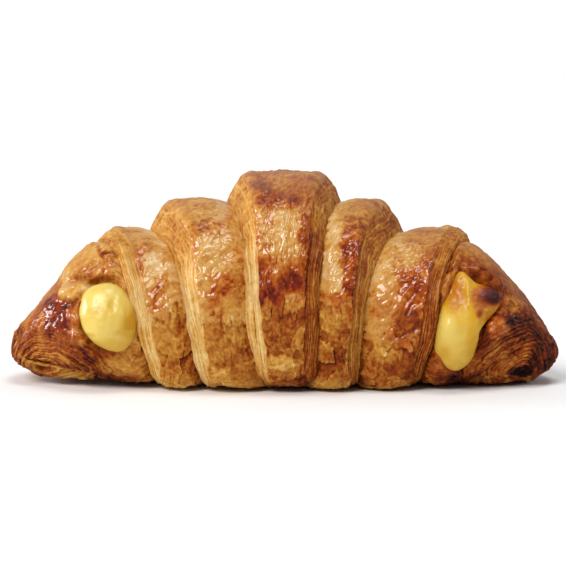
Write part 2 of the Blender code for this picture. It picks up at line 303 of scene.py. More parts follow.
class Sheet:
    """A stretch of the spiral strip as a grid: wrap angles by places across."""

    def __init__(self, side, first, last, columns, rows):
        self.side = side
        rows_across = np.linspace(0, 1, rows)
        self.wrap, u = np.meshgrid(np.linspace(first, last, columns), rows_across, indexing="ij")
        share = strip_share(self.wrap, side)
        body = (1 - share) * u / (1 - STRIP_ROWS)
        edge = 1 - share * (1 - u) / STRIP_ROWS
        self.across = np.where(u < 1 - STRIP_ROWS, body, edge)
        self.share = share
        self.form()
        self.find_normals()

    def form(self):
        """The plain form's points, and what the relief needs to know about each."""
        wrap, across, side = self.wrap, self.across, self.side
        sign = -1.0 if side == "left" else 1.0
        inner = edge_distance(wrap - TURN, side)
        outer = edge_distance(wrap, side)
        self.width = outer - inner
        self.to_inner = across * self.width
        self.to_outer = (1 - across) * self.width
        along = inner + self.to_inner
        along = np.where(along > OUTSIDE_END - END_PATCH, OUTSIDE_END, along)
        rounding = np.clip((along - DOME_START) / DOME_RADIUS, 0, math.pi / 2)
        distance = np.minimum(along, DOME_START) + DOME_RADIUS * np.sin(rounding)
        dome = np.where(along < OUTSIDE_END, np.cos(rounding), 0.0)
        self.along = along
        self.x = sign * distance
        self.topside = np.clip(-np.cos(wrap), 0, 1) ** 3
        self.on_strip = np.clip((1 - across) / self.share, 0.0, 1.0)
        step = np.sin(self.on_strip * math.pi / 2) ** STEP_ROUNDING
        own = crown_height(distance, wrap, side)
        below = crown_height(distance, wrap + TURN, side)
        height = mix(below, own, step)
        self.height = height

        self.edge_grows = ease((wrap - TONGUE_START) / GROW_ANGLE)
        inner_grows = ease((wrap - TURN - TONGUE_START) / GROW_ANGLE)
        deep = 1.5 * bell(self.to_inner, 1.6) + 1.2 * bell(self.to_inner, 0.7)
        shallow = 1.0 * bell(self.to_outer, 0.8)
        deep = deep * inner_grows * np.where(wrap > ROLLED_END + TURN, 0.2, 1.0)
        shallow = shallow * self.edge_grows * np.where(wrap > ROLLED_END, 0.2, 1.0)
        crease = (deep + shallow) * (1 - 0.6 * self.topside)
        middle = np.sin(math.pi * np.clip(across / (1 - 0.5 * self.share), 0, 1)) * inner_grows
        out = PILLOW * middle - crease

        half_depth = HALF_DEPTH * (height / CROWN_HEIGHT) ** DEPTH_POWER
        centre_z = TIP_CENTRE + (height * WIDEST_AT - TIP_CENTRE) * dome
        top = TIP_CENTRE + (height - TIP_CENTRE) * dome
        to_end = np.clip((distance - LIFT_START) / (HALF_LENGTH - LIFT_START), 0, 1)
        bottom = TIP_CENTRE * (1 - np.sqrt(1 - to_end**2))
        bottom = bottom - BELLY * (1 - ease((distance - BELLY_END + BELLY_FADE) / BELLY_FADE))
        sine, cosine = np.sin(wrap), np.cos(wrap)
        ring_y = -np.sign(sine) * np.abs(sine) ** ROUNDNESS * half_depth * dome
        ring_z = -np.sign(cosine) * np.abs(cosine) ** ROUNDNESS
        ring_z = np.where(ring_z > 0, ring_z * (top - centre_z), ring_z * (centre_z - bottom))
        reach = np.maximum(np.hypot(ring_y, ring_z), 1e-6)
        grow = 1 + out * dome / reach
        z = np.maximum(centre_z + ring_z * grow, 0.0)
        foot = FOOT_SPREAD * np.exp(-z / FOOT_HEIGHT) * ease((FOOT_END - distance) / FOOT_FADE)
        spine_y = SPINE_BEND[side] * (distance / HALF_LENGTH) ** 2
        y = spine_y + ring_y * grow * (1 + foot)
        middle_x, level, reach_x, rise, depth = POCKETS[side]
        away = ((distance - middle_x) / reach_x) ** 2 + ((z - level) / rise) ** 2
        past_third = ease((along - inner) / POCKET_LIP) * (wrap > 3 * TURN)
        in_pocket = np.where(wrap > 4 * TURN, 1.0, past_third) * ease(3 * sine)
        y = y + depth * np.exp(-(away**1.5)) * in_pocket
        self.points = np.stack([self.x, y, z], axis=-1)
        self.axis = np.stack([self.x, spine_y, centre_z], axis=-1)

    def find_normals(self):
        """Outward normals of the form, and the length around the roll."""
        normals = np.cross(np.gradient(self.points, axis=0), np.gradient(self.points, axis=1))
        outward = self.points - self.axis
        if (normals * outward).sum() < 0:
            normals = -normals
        long_enough = np.linalg.norm(normals, axis=-1, keepdims=True)
        self.normals = np.where(long_enough > 1e-9, normals / np.maximum(long_enough, 1e-9), 0.0)
        line = self.points[:, int(self.points.shape[1] * 0.4)]
        steps = np.linalg.norm(np.diff(line, axis=0), axis=-1)
        self.arc = np.concatenate([[0.0], np.cumsum(steps)])[:, None] + 0 * self.across


def flat_noise(along, across, seed):
    """Noise that is drawn on the unrolled dough."""
    return noise(np.stack(np.broadcast_arrays(along, across, 0.0), axis=-1), 1.0, seed)


def noise_on(points, seed):
    """Noise on these points, asked for by its size and its number."""
    return lambda size, number: noise(points, size, seed + number)


def spread(values, reach):
    """Values averaged over their neighbours on the grid, this many steps each way."""
    for axis in (0, 1):
        widths = [(reach + 1, reach) if number == axis else (0, 0) for number in (0, 1)]
        total = np.cumsum(np.pad(values, widths, mode="edge"), axis=axis)
        span = 2 * reach + 1
        after = np.take(total, np.arange(span, total.shape[axis]), axis=axis)
        before = np.take(total, np.arange(total.shape[axis] - span), axis=axis)
        values = (after - before) / span
    return values


# Baked relief in mm: length, width and height of each kind, or width and height

WRINKLES = (8.0, 2.6, 0.60)
SMALL_WRINKLES = (4.0, 1.3, 0.22)
CRINKLES = (2.4, 0.26)
BLISTERS = (2.2, 0.40)
CRACKS = (3.4, 1.7, 0.16)
SCRAPS = (6.5, 4.2, 0.62)
SMALL_SCRAPS = (3.4, 2.2, 0.32)
FURROWS = (9.0, 2.0, 0.26)
CRUMBS = (1.0, 0.20)
TEARS = (6.0, 2.6, 6.0)  # steps of the ragged border where the skin ends
SKIN = 0.45


def crests(level, height):
    """Ridges this high where the noise changes sign."""
    return height * ((1 - np.abs(level)) ** 2 - 0.6)


def film_relief(sheet, lean, stretch, seed):
    """Skin under the egg wash: a thin film puffed up in soft wrinkles, with small blisters."""
    lump = noise_on(sheet.points, seed)
    along = sheet.x * math.cos(lean) + sheet.arc * math.sin(lean)
    across = sheet.arc * math.cos(lean) - sheet.x * math.sin(lean) + 1.1 * lump(4.0, 0)
    length, width, rise = WRINKLES
    height = crests(flat_noise(along / (length * stretch), across / width, seed + 1), rise)
    height = height * ease(lump(10.0, 5) + 0.75)
    length, width, rise = SMALL_WRINKLES
    height = height + crests(flat_noise(along / (length * stretch), across / width, seed + 2), rise)
    width, rise = CRINKLES
    height = height + crests(lump(width, 7), rise)
    width, rise = BLISTERS
    blisters, level = bubbles(sheet.points, width, seed + 3)
    raised = blisters * ease((level - 0.6) / 0.1) * ease(lump(9.0, 4) + 0.4)
    length, width, depth = CRACKS
    finer = 0.7 * lump(1.3, 8)
    crack = bell(flat_noise((along + finer) / length, (across + finer) / width, seed + 9), 0.10)
    crack = crack * ease(lump(7.0, 6) + 0.6)
    return height + rise * raised - depth * crack, raised, crack


def peeled_relief(sheet, seed):
    """Dry dough where the skin has come away: ragged scraps in layers, and upright furrows."""
    lump = noise_on(sheet.points, seed)
    warp = 0.6 * lump(1.5, 0) + 1.4 * lump(6.0, 1)
    shift = 0.6 * lump(1.5, 2) + 1.4 * lump(6.0, 3)
    length, width, rise = SCRAPS
    large, large_rim = flakes((sheet.x + warp) / width, (sheet.arc + shift) / length, seed + 4)
    length, width, small_rise = SMALL_SCRAPS
    small, small_rim = flakes((sheet.x - warp) / width, (sheet.arc - shift) / length, seed + 5)
    length, width, depth = FURROWS
    furrow = bell(flat_noise(sheet.x / width, sheet.arc / length, seed + 6), 0.12)
    where = ease(lump(8.0, 7) + 0.3)
    width, crumb_rise = CRUMBS
    height = rise * (large - 0.5) + small_rise * (small - 0.5) - depth * furrow * where
    height = height + crumb_rise * lump(width, 8)
    rim = np.maximum(large_rim * large, 0.7 * small_rim * small)
    return height, 0.6 * large + 0.4 * small, furrow * where, rim


def strands(place, arc, seed):
    """Wavy strands side by side, some fused and some standing out: height, groove and tone."""
    strand = np.floor(place)
    ridge = np.abs(np.sin(math.pi * (place - strand))) ** 0.5
    level = flat_noise(arc / 8.0, strand * 3.7, seed + 2)
    strength = np.clip(0.6 + 0.9 * flat_noise(arc / 7.0, np.round(place) * 5.3, seed + 3), 0.05, 1.3)
    fibres = flat_noise(arc / 2.2, place * 3.3, seed + 4)
    height = 0.65 * (ridge - 1) * strength + 0.45 * level + 0.12 * fibres
    tone = LEVELS[cell_index(strand, np.asarray(float(seed)))] - 0.5 + 0.4 * fibres
    return height, (1 - ridge) * strength, tone


def edge_strands(sheet, layers, seed):
    """The cut edge of the laminated dough, whose layers run along it."""
    count = layers * (1 + 0.4 * sheet.topside)
    wobble = 1.2 * flat_noise(sheet.arc / 14.0, sheet.on_strip * 1.1, seed)
    wobble = wobble + 0.38 * flat_noise(sheet.arc / 3.4, sheet.on_strip * 2.6, seed + 1)
    return strands(sheet.on_strip * count + wobble, sheet.arc, seed)


def tip_strands(sheet, seed):
    """Layers of the rolled end, which fan round a narrow slit low on the front."""
    eye_x, eye_z, to_middle, to_tip, up, count = EYES[sheet.side]
    points = sheet.points
    lump = noise_on(points, seed)
    sideways = (sheet.along - eye_x) / np.where(sheet.along < eye_x, to_middle, to_tip)
    above = (points[..., 2] - eye_z) / up
    ring = np.hypot(sideways, above)
    wobble = 1.3 * lump(11.0, 0) + 0.6 * lump(4.0, 1)
    wobble = wobble + 0.3 * lump(1.6, 6)
    turn = np.arctan2(above, sideways) * 9.0
    height, groove, tone = strands(ring * count + wobble, turn, seed)
    slit = bell(ring, 0.17) * ease((1.0 - points[..., 1]) / 6.0)
    within = ease((1.0 - ring + 0.08 * lump(2.5, 5)) / 0.22)
    within = np.maximum(within, ease((sheet.along - DOME_START) / 3.0))
    return 0.9 * height - 1.8 * slit, np.maximum(groove, slit), tone, within


TOP_CUT_WIDTH = 1.5  # how much wider the cut edge is on top
FOOT_CUT_WIDTH = 1.9  # and how much narrower it is at the foot
CUT_FOOT = 12.0  # height below which it narrows
PALE_BAND = 4.5  # width of the paler skin beside it on the left side
FOOT_TONE = 7.0  # height below which the dry dough takes its painted foot light or shade
DULL_FROM = 0.72  # share of a wrap's height from which its cut edge is dull and fuzzy
SATIN_FROM = 0.80  # from which its egg wash shines less
PAINTED_SHEEN_FROM = 0.84  # from which a painted sheen lies on it: a pale haze standing in for grazing reflections
CALM_FROM = 0.86  # and from which its relief is calmer
TIP_STRETCH = 0.4  # how short the wrinkles of the tips are

# Slit of each rolled end: distance from the middle, height, reach of its layers towards the middle,
# towards the tip and up, and how many there are
EYES = {"left": (70.5, 4.2, 25.0, 10.5, 13.0, 15), "right": (69.2, 3.0, 25.0, 11.5, 22.0, 20)}

MIDDLE, LEFT_SECOND, RIGHT_SECOND, LEFT_THIRD, RIGHT_THIRD, LEFT_TIP, RIGHT_TIP = range(7)

# Tone of the cut edges low down and at the top, where 0 is pale and 1 is burnt. The right side's cut edges,
# turned away from the light, are darker: partly their own colour and partly painted shade
EDGE_TONES = {"left": (0.19, 0.42), "right": (0.65, 0.54)}

# For each wrap: lean of its wrinkles, height where its skin tears off as a share of the wrap's height,
# tone of its skin and of its dry dough, how much paler that dough is drawn at the foot as painted light
# from the floor (below 0 it is darker there, painted shade where it meets the floor), how much paler the
# cut edge is low down, how far the underside is bent up off the floor, and its seed
WRAP_LOOKS = {
    MIDDLE: (1.35, 0.42, 0.48, 0.60, -0.12, 0.0, 0.0, 11),
    LEFT_SECOND: (0.62, 0.40, 0.41, 0.60, 0.18, 0.0, 0.0, 131),
    RIGHT_SECOND: (0.9, 0.48, 0.48, 0.62, 0.18, 0.12, 0.0, 251),
    LEFT_THIRD: (0.62, 0.50, 0.40, 0.66, 0.18, 0.0, 0.7, 371),
    RIGHT_THIRD: (0.7, 0.34, 0.44, 0.74, 0.18, 0.0, 0.0, 491),
    LEFT_TIP: (0.6, 0.0, 0.56, 0.60, 0.06, 0.0, 1.3, 611),
    RIGHT_TIP: (0.6, 0.0, 0.68, 0.66, 0.0, 0.0, 0.0, 731),
}

# Places of the front with a tone and a gloss of their own: x, z, half-width, half-height, tone, gloss
# (a gloss above 1 is blistered as well)
PLACES = {
    MIDDLE: (
        (-5.7, 57.2, 2.9, 2.3, 0.7, 0.2), (4.5, 57.7, 4, 2, 0.58, 0.2), (-2.3, 54.2, 5.7, 2.6, 0.6, 0.7),
        (0.3, 45.7, 3.9, 7.3, 0.3, 1), (-6.2, 44.9, 2, 5.6, 0.36, 1.4), (-5.6, 30.6, 2.5, 7, 0.72, 1.2),
        (2.8, 31.9, 3.6, 3.1, 0.7, 1), (-1.7, 28, 2.8, 2.2, 0.7, 1), (6.1, 40.9, 1.4, 12.6, 0.58, 0.6),
        (0.3, 22.1, 6.7, 3.9, 0.62, 0.2), (1.7, 16.3, 4.5, 2.2, 0.66, 0), (-1.2, 8.8, 4.8, 2, 0.32, 0),
        (5.9, 5.6, 2.3, 2.3, 0.68, 0), (1.6, 2.9, 6, 2.3, 0.74, 0),
    ),
    LEFT_SECOND: (
        (-17.7, 49.5, 3.4, 3.4, 0.5, 0.9), (-20.2, 40.5, 3.7, 5.6, 0.3, 1),
        (-17.3, 31.6, 4.2, 2.8, 0.58, 1), (-26.9, 50.2, 2.9, 1.7, 0.52, 0.3),
        (-14, 24.1, 2, 9.8, 0.42, 0.4), (-19.3, 23.6, 2.8, 3.4, 0.5, 0.6),
        (-17.8, 5.9, 2.8, 1.7, 0.42, 0), (-13.7, 17, 2.8, 3.9, 0.46, 0),
    ),
    LEFT_THIRD: (
        (-40.6, 36.5, 1.4, 4, 0.55, 1), (-37.1, 34.9, 2.8, 4.5, 0.2, 1.4),
        (-37.2, 25.5, 1.4, 3.1, 0.66, 1), (-32.7, 15, 3.4, 5.6, 0.54, 0),
    ),
    RIGHT_SECOND: (
        (12.9, 43, 2.8, 9.1, 0.24, 0.5), (13.9, 33.8, 2.5, 3.9, 0.28, 1), (18.4, 35.7, 2, 11.2, 0.66, 1),
        (19.2, 24.6, 1.4, 3.9, 0.7, 1), (27.2, 49.8, 3.5, 2.9, 0.6, 0.2), (14.2, 17, 3.4, 5, 0.58, 0),
        (17.2, 6.9, 2.8, 2.3, 0.62, 0),
    ),
    RIGHT_THIRD: (
        (28.4, 36.4, 2.8, 7.4, 0.26, 0.6), (34.5, 39.6, 5.2, 4, 0.36, 0.6),
        (36.3, 31.3, 3.1, 3.7, 0.66, 1), (30.1, 29.1, 2.5, 3.4, 0.36, 1),
        (34.8, 20.3, 3.9, 3.7, 0.72, 0.3), (28.4, 12.2, 3.9, 3.9, 0.54, 0),
        (39.3, 43.4, 7.3, 1.5, 0.52, 0.2), (44.2, 36.5, 2.3, 4, 0.6, 0.3),
    ),
    LEFT_TIP: (
        (-60, 33, 6.3, 4.6, 0.42, 0.1), (-60.5, 29.8, 3.6, 1.5, 0.36, 1),
        (-51.5, 38.5, 2.6, 0.9, 0.78, 0.5), (-51.6, 31, 4.4, 1.3, 0.5, 0.1),
        (-53.6, 34.5, 4.6, 2, 0.52, 0.8), (-64.5, 20.6, 4, 4.6, 0.8, 1.6),
        (-71.2, 19.8, 3.5, 3.5, 0.6, 0.6), (-58.5, 19.5, 1.9, 4.8, 0.58, 0.8),
        (-56.2, 12.2, 1.7, 1.4, 0.74, 0.3), (-48.8, 9.7, 3.1, 1.7, 0.58, 0.2),
        (-46.5, 6.5, 6, 3.5, 0.48, 0.1), (-58, 27.9, 4.6, 2.6, 0.3, 0.5),
    ),
    RIGHT_TIP: (
        (65.1, 20.2, 3.1, 2.7, 0.9, 1), (59.9, 17.8, 3.2, 3.4, 0.44, 1.5),
        (62.6, 24, 4.5, 1.9, 0.58, 0.1), (56.2, 32.2, 4, 2.3, 0.84, 0.1), (61.7, 30.1, 4, 3.4, 0.74, 0.1),
        (76.5, 11.5, 5.4, 9.6, 0.82, 0.4), (69.1, 3.6, 4, 2, 1, 0.5), (52.8, 7.1, 7.1, 2.3, 0.68, 0.1),
        (62.7, 11.5, 5.7, 2.8, 0.6, 0.2),
    ),
}

# Forms of the open pockets: x, z, half-length, half-width, turn in degrees, height (below 0 is a hollow)
POCKET_FORMS = {
    "left": (
        (-53.6, 34.4, 4.6, 2.6, 10, -1.2), (-51.2, 30.6, 4.6, 1.7, 8, -3.4),
        (-58.6, 27.6, 5.2, 2.3, 14, 2.4), (-58.6, 31.4, 3.6, 0.7, 14, -1.4),
        (-60.5, 35.5, 7, 2.2, 52, 0.5), (-58.9, 20.2, 1.5, 4.6, 8, 2), (-58, 24, 0.9, 1.3, 0, 0.9),
        (-58.6, 19.4, 0.8, 1.6, 0, 0.9), (-57.3, 14.6, 1.4, 2.8, 35, 2.2), (-59.6, 15.2, 1.1, 2, 20, 1.2),
        (-55.2, 11.6, 0.9, 3.2, 38, 1.6), (-52.4, 8.6, 4.5, 1, -30, 0.9), (-47, 8.6, 3.5, 1.4, 10, -0.8),
        (-66, 20.5, 6, 6, 0, 0.8),
    ),
    "right": (
        (56.6, 31.9, 5.6, 1.5, -34, 2.6), (59.5, 33, 5, 1, -40, -0.8), (58.2, 21.4, 4.4, 0.9, 42, -2),
        (60.6, 19.6, 3.4, 2, 34, 1.2), (47.5, 33, 1, 7, -24, 1.4), (52.5, 4.8, 6, 1.4, 12, 0.8),
        (57.6, 15, 1.5, 3.4, -20, 1.5), (60.6, 16.4, 1.1, 2.8, -35, 1.1),
    ),
}


def painted(points, places, tone, gloss):
    """Tone and gloss with the wrap's own places worked in, with ragged borders."""
    ragged_x = points[..., 0] + 1.3 * noise(points, 3.5, 90) + 0.7 * noise(points, 1.3, 92)
    ragged_z = points[..., 2] + 1.3 * noise(points, 3.5, 91) + 0.7 * noise(points, 1.3, 93)
    for x, z, half_width, half_height, own_tone, own_gloss in places:
        away = ((ragged_x - x) / half_width) ** 2 + ((ragged_z - z) / half_height) ** 2
        weight = ease((1.35 - np.sqrt(away)) / 0.7) * (points[..., 1] < 0)
        tone = mix(tone, own_tone, weight)
        gloss = mix(gloss, own_gloss, weight)
    return tone, gloss


def pocket_relief(sheet):
    """Folds, hollows and the raised rim round the custard, in mm towards the front."""
    height = np.zeros(sheet.wrap.shape)
    x, z = sheet.points[..., 0], sheet.points[..., 2]
    for middle_x, middle_z, length, width, turn, rise in POCKET_FORMS[sheet.side]:
        cosine, sine = math.cos(math.radians(turn)), math.sin(math.radians(turn))
        along = (x - middle_x) * cosine + (z - middle_z) * sine
        across = (z - middle_z) * cosine - (x - middle_x) * sine
        away = (along / length) ** 2 + (across / width) ** 2
        height += rise * np.exp(-(away**2))
    return height * (sheet.points[..., 1] < -4) * (sheet.wrap > 3 * TURN)


def bake(sheet, look, settings):
    """Adds the relief to a sheet, and finds what its material reads at each point; the tone holds painted
    shade and light as well as the browning.
    """
    lean, torn_at, skin_tone, dry_tone, foot_painted_light, edge_paler, lift, seed = WRAP_LOOKS[look]
    is_tip = look in (LEFT_TIP, RIGHT_TIP)
    points = sheet.points
    z = points[..., 2]
    lump = noise_on(points, seed)
    share_up = z / np.maximum(sheet.height, 1.0)
    on_top = ease((share_up - DULL_FROM) / 0.2)
    crown = ease((share_up - CALM_FROM) / 0.1)

    # The skin, and the dry dough below the ragged line where it has torn off
    film, raised, crack = film_relief(sheet, lean, TIP_STRETCH if is_tip else 1.0, seed + 10)
    peeled, scrap, furrow, rim = peeled_relief(sheet, seed + 20)
    length, width, step = TEARS
    astray = 0.5 * lump(2.4, 32)
    scraps = patches(sheet.x / width + astray, sheet.arc / length + astray, seed + 30)
    torn = torn_at * sheet.height + step * (scraps - 0.5)
    torn = torn + 1.8 * lump(1.7, 31)
    wash = ease((z - torn) / 0.5)
    relief = mix(peeled, film + SKIN, wash)

    # The layers of the cut edge or of the rolled end
    ragged = 0.35 * flat_noise(sheet.arc / 3.0, 0.0, seed + 50)
    cut_width = settings.cut_width / MM + TOP_CUT_WIDTH * sheet.topside
    cut_width = cut_width - FOOT_CUT_WIDTH * ease((CUT_FOOT - z) / CUT_FOOT)
    if is_tip:
        layers, groove, layer_tone, on_edge = tip_strands(sheet, seed + 40)
    else:
        edge_seed = seed + (40 if sheet.side == "left" else 47)
        layers, groove, layer_tone = edge_strands(sheet, settings.edge_layers, edge_seed)
        border = 0.35 + 0.9 * on_top
        on_edge = ease((cut_width + ragged - sheet.to_outer) / border) * sheet.edge_grows
    fuzz = 0.5 * lump(2.6, 51) + 0.3 * lump(1.3, 52)
    relief = mix(relief, (0.8 * layers - 0.3) * (1 - 0.3 * on_top) + fuzz * on_top, on_edge)

    # Tone and gloss of the skin and the dry dough
    body = np.clip(sheet.across / np.maximum(1 - sheet.share, 1e-3), 0, 1) if look != MIDDLE else 0.5
    variation = (0.13 + 0.06 * wash) * rough_noise(points, 7.0, 3, seed + 60)
    variation = variation + (0.14 * raised + 0.16 * crack) * wash
    scorched = ease((lump(11.0, 61) - 0.1) / 0.7) * ease(points[..., 1] / 8.0)
    tone = skin_tone + 0.20 * (ease(body * 1.3) - 0.6) + 0.20 * scorched
    # The dry dough's foot is drawn paler as painted light from the floor, or darker on the middle wrap as
    # painted shade
    tone = mix(dry_tone - foot_painted_light * ease((FOOT_TONE - z) / FOOT_TONE), tone, wash)
    gloss = wash * (1 - 0.8 * ease((share_up - SATIN_FROM) / 0.12))
    if is_tip:
        gloss = 0.25 * gloss
    tone, gloss = painted(points, PLACES[look], tone, gloss)
    blistered = np.clip(gloss - 1, 0, 0.5) * 2
    relief = relief + 0.35 * blistered * lump(2.0, 70)
    below_tear = bell(z - torn + 1.0, 1.2) * (1 - wash) * (torn_at > 0)
    tone = tone + variation + (0.04 if look == MIDDLE else -0.09) * crown
    # On the dry dough the furrows are drawn darker, as painted shade, and the rims of the scraps paler, as
    # painted highlight; the scraps' tones differ at random, and just below the tear the dough is paler
    tone = tone + (1 - wash) * (0.20 * (0.5 - scrap) + 0.12 * furrow - 0.11 * rim) - 0.12 * below_tear

    # Tone of the layers, and of the skin beside them
    own_edge = tone
    if not is_tip:
        low_tone, top_tone = EDGE_TONES[sheet.side]
        own_edge = mix(low_tone - edge_paler, top_tone, ease((share_up - 0.6) / 0.3))
        darker_foot = 0.16 if look == MIDDLE else 0.04
        own_edge = own_edge + darker_foot * ease((8.0 - z) / 8.0) + 0.10 * lump(6.0, 53)
        beside = sheet.to_outer - cut_width - ragged
        if sheet.side == "right" or look == MIDDLE:
            tone = tone + 0.14 * bell(beside, 0.4) * (1 - on_top) * sheet.edge_grows * wash
        else:
            pale = ease((PALE_BAND - beside + 1.2 * lump(3.0, 54)) / PALE_BAND) * sheet.edge_grows
            tone = tone + (np.minimum(tone, own_edge + 0.08) - tone) * pale * (0.35 + 0.3 * wash)
    # The grooves between the layers and the slit of a rolled end are drawn darker: partly the layers' own
    # tone and partly painted shade
    contrast = 0.9 if look == RIGHT_TIP else 1.3
    own_edge = own_edge + contrast * (0.16 * layer_tone + 0.20 * groove) * (1 - 0.3 * on_top)
    tone = mix(tone, own_edge, on_edge)
    # Painted shade and light: hollows of the relief are drawn darker and its raised parts paler
    proud = relief - spread(relief, 4)
    tone = tone - np.clip(proud * (0.30 - 0.12 * gloss), -0.14, 0.14)

    # Where each point ends up
    lumps = 0.6 * lump(16.0, 0) + 0.35 * lump(6.5, 1)
    shoulder = 1.1 * np.sin(math.pi * sheet.on_strip) * sheet.topside * sheet.edge_grows * (not is_tip)
    gap_fill = 0.9 * bell(sheet.to_inner, 0.9) * (look != MIDDLE) * (not is_tip)
    height = lumps + shoulder + gap_fill + relief * (1 - 0.5 * crown) * settings.relief
    if is_tip:
        height = height + pocket_relief(sheet)
    fade = ease((OUTSIDE_END - sheet.along) / 5.0) * ease(sheet.width / 2.0)
    moved = points + sheet.normals * (height * fade)[..., None]
    moved[..., 2] += lift * ease((8.0 - moved[..., 2]) / 8.0)
    near_rim = ease((np.abs(moved[..., 1]) - 12.0) / 8.0) * ease((5.0 - moved[..., 2]) / 5.0)
    moved[..., 2] += settings.rim_lift / MM * near_rim
    moved[..., 2] = np.maximum(moved[..., 2], 0.0)
    sheet.moved = moved
    # Painted sheen on the tops of the wraps: a pale haze that stands in for their grazing reflections
    bloom = ease((share_up - PAINTED_SHEEN_FROM) / 0.12) * (1 - 0.8 * np.clip(gloss, 0, 1)) * (1 - 0.6 * on_edge)
    sheet.marks = {
        "bake": np.clip(tone, 0, 1),
        "wash": np.clip(gloss * (1 - 0.85 * on_edge * (1 - blistered)), 0, 1),
        "blister": np.clip(0.3 * gloss + blistered, 0, 1),
        "bloom": bloom if look == MIDDLE else 0.6 * bloom,
    }


def add_object(name, data):
    """A new object at the origin, in the scene."""
    made = bpy.data.objects.new(name, data)
    bpy.context.scene.collection.objects.link(made)
    return made


def closed_piece(name, points, marks, axis, outward_x, material):
    """A closed shell: the fine outside, and a plain wall behind it."""
    columns, rows = points.shape[:2]
    inward = axis - points
    far = np.linalg.norm(inward, axis=-1, keepdims=True)
    inward = inward / np.maximum(far, 1e-6)

    def behind(row, depth, along):
        drop = np.minimum(depth, 0.45 * far[:, row])
        place = points[:, row] + inward[:, row] * drop
        place[:, 0] += along * np.minimum(1.0, drop[:, 0] / depth)
        place[:, 2] = np.maximum(place[:, 2], 0.0)
        return place

    first, last = outward_x
    wall = [behind(rows - 1, SHELL, last), behind(rows // 2, CORE_SHELL, 0.0), behind(0, SHELL, first)]

    # Each column of points is closed to a ring, and the first and the last ring get a cap
    ring = np.concatenate([points, np.stack(wall, axis=1)], axis=1)
    count = rows + len(wall)
    column, row = np.meshgrid(np.arange(columns - 1), np.arange(count), indexing="ij")
    after = (row + 1) % count
    a, b = column * count + row, column * count + after
    quads = np.stack([a, b, b + count, a + count], axis=-1).reshape(-1, 4)
    starts = np.arange(count)
    ends = (columns - 1) * count + starts
    cap_points = np.stack([ring[0].mean(0), ring[-1].mean(0)])
    first_cap, last_cap = columns * count, columns * count + 1
    caps = [
        np.stack([np.roll(starts, -1), starts, np.full(count, first_cap)], axis=-1),
        np.stack([ends, np.roll(ends, -1), np.full(count, last_cap)], axis=-1),
    ]
    vertices = np.concatenate([ring.reshape(-1, 3), cap_points]) * MM
    faces = quads.tolist() + np.concatenate(caps).tolist()
    mesh = bpy.data.meshes.new(name)
    mesh.from_pydata(vertices, [], faces)
    for mark, values in marks.items():
        filled = np.concatenate([values, np.full((columns, len(wall)), WALL_MARK)], axis=1).reshape(-1)
        layer = mesh.attributes.new(mark, "FLOAT", "POINT")
        layer.data.foreach_set("value", np.concatenate([filled, [WALL_MARK] * 2]).astype(np.float32))
    build = bmesh.new()
    build.from_mesh(mesh)
    bmesh.ops.remove_doubles(build, verts=build.verts, dist=1e-6)
    bmesh.ops.dissolve_degenerate(build, edges=build.edges, dist=1e-7)
    if build.calc_volume(signed=True) < 0:
        bmesh.ops.reverse_faces(build, faces=build.faces)
    build.to_mesh(mesh)
    build.free()
    mesh.shade_smooth()
    piece = add_object(name, mesh)
    mesh.materials.append(material)
    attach(piece, "root")
    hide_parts("pastry")
    return piece


def side_by_side(left, right):
    """The grids of both halves of the middle wrap as one."""
    return np.concatenate([left[:, ::-1], right[:, 1:]], axis=1)


def fineness(count):
    return count


def side_piece(context, name, side, first, last, columns, rows, look):
    """One wrap or tip of one side, between these wrap angles, as a closed piece."""
    sheet = Sheet(side, first, last, fineness(columns), fineness(rows))
    bake(sheet, look, context.scene.croissant)
    sign = -1.0 if side == "left" else 1.0
    outward = (-TUCK * sign, 0.4 * sign)
    material = bpy.data.materials["egg-washed butter dough"]
    return closed_piece(name, sheet.moved, sheet.marks, sheet.axis, outward, material)


# Materials: the dough's colours from raw to burnt, and the amber of the egg wash over them

DOUGH_STOPS = (
    (0.0, "pale_dough"), (0.36, "golden_dough"), (0.66, "brown_dough"), (0.80, "red_dough"),
    (1.0, "burnt_dough"),
)
FILM_STOPS = (
    (0.0, "pale_film"), (0.34, "golden_film"), (0.58, "amber_film"), (0.76, "red_film"), (1.0, "burnt_film"),
)
CUSTARD_STOPS = (
    (0.0, "custard"), (0.25, "amber_custard"), (0.5, "orange_custard"), (0.75, "brown_custard"),
    (1.0, "burnt_custard"),
)

# Sizes and heights of the fine patterns in mm. The dough's grain and the curds of the custard are
# finer than this, and are drawn coarser so that they show
GRAIN = 1.0
GRAIN_HEIGHT = 0.25
MOTTLE = 3.0
CRINKLE = 2.2
CRINKLE_HEIGHT = 0.35
BLISTER = 2.0
BLISTER_HEIGHT = 0.24
CURD = 1.8
CURD_HEIGHT = 0.2

# How much of the tone the grain and the mottle make up
GRAIN_SHARE = 0.38
MOTTLE_SHARE = 0.26


def fill_inputs(tree, node, inputs):
    """Sets each input of the node to its value, or links the output given for it."""
    for name, value in inputs.items():
        if isinstance(value, bpy.types.NodeSocket):
            tree.links.new(value, node.inputs[name])
        else:
            node.inputs[name].default_value = value


def add_node(tree, kind, inputs=None, output=0, stops=None, **settings):
    """Adds a shader node with its settings and inputs, and gives one of its outputs."""
    node = tree.nodes.new("ShaderNode" + kind)
    for name, value in settings.items():
        setattr(node, name, value)
    fill_inputs(tree, node, inputs or {})
    if stops:
        elements = node.color_ramp.elements
        while len(elements) < len(stops):
            elements.new(0.5)
        for element, (place, colour) in zip(elements, stops):
            element.position = place
            element.color = colour
    return node.outputs[output]


def colour_stops(settings, stops):
    """The places and colours of a ramp, from the names of its settings."""
    return [(place, getattr(settings, name)) for place, name in stops]


def new_material(name):
    """A new material, and its tree of nodes."""
    material = bpy.data.materials.new(name)
    material.use_nodes = True
    return material, material.node_tree


